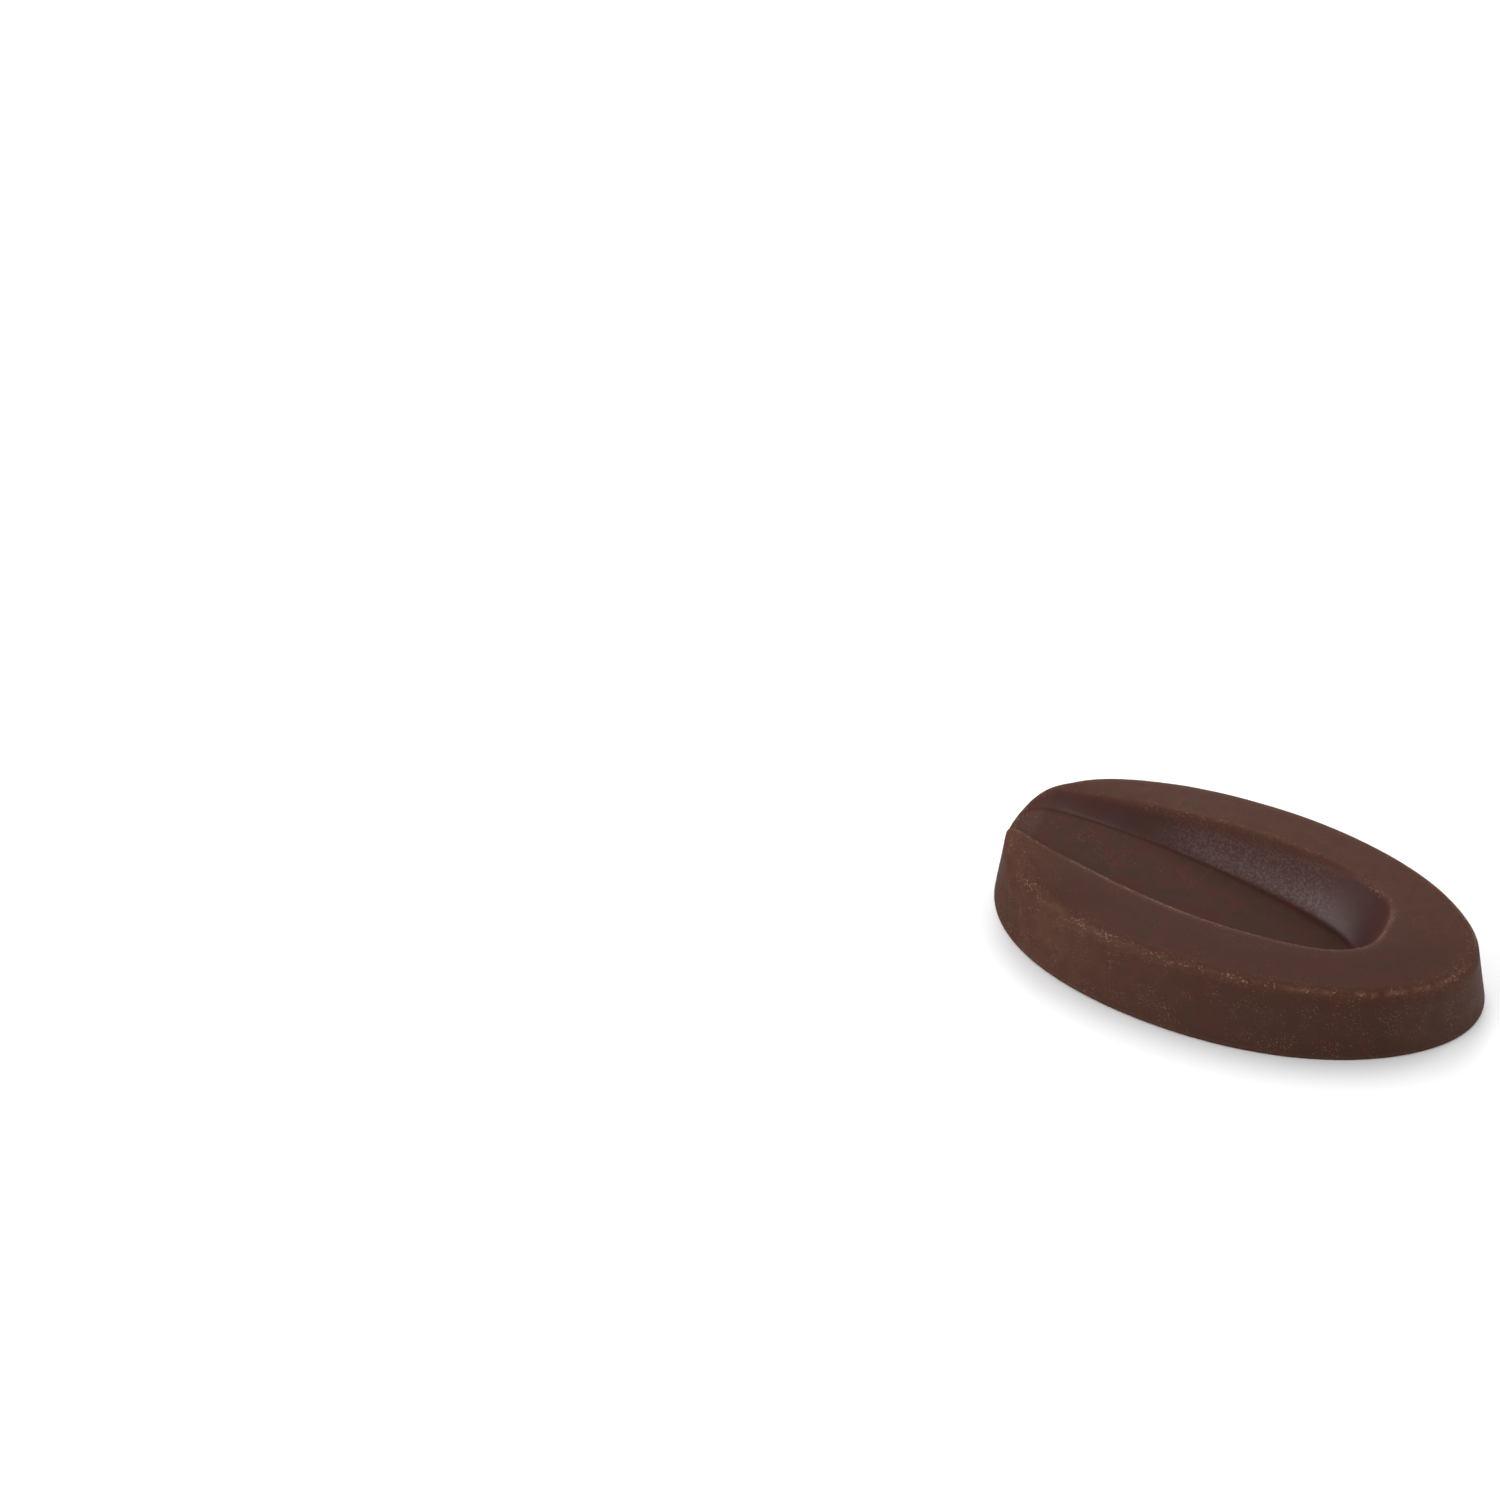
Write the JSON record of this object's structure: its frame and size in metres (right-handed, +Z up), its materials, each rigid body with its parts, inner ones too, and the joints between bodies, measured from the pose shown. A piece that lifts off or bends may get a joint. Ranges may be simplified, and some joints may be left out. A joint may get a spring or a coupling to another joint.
{
  "type": "chocolate disc",
  "caption": "Oval dark chocolate disc with leaning sides, soft rounded edges and a tapering crease along its top that runs out through one end.",
  "frame": {"origin": "middle of the flat underside", "axes": "+X along the length towards the closed, round end of the crease, +Y across, +Z up out of the creased top"},
  "size_m": [0.038, 0.022, 0.006],
  "materials": {
    "dark_chocolate": "dark brown tempered chocolate, satin to matt, warmer and paler along its rounded edges"
  },
  "bodies": {
    "root": {"chocolate_disc": "dark_chocolate"}
  },
  "joints": []
}
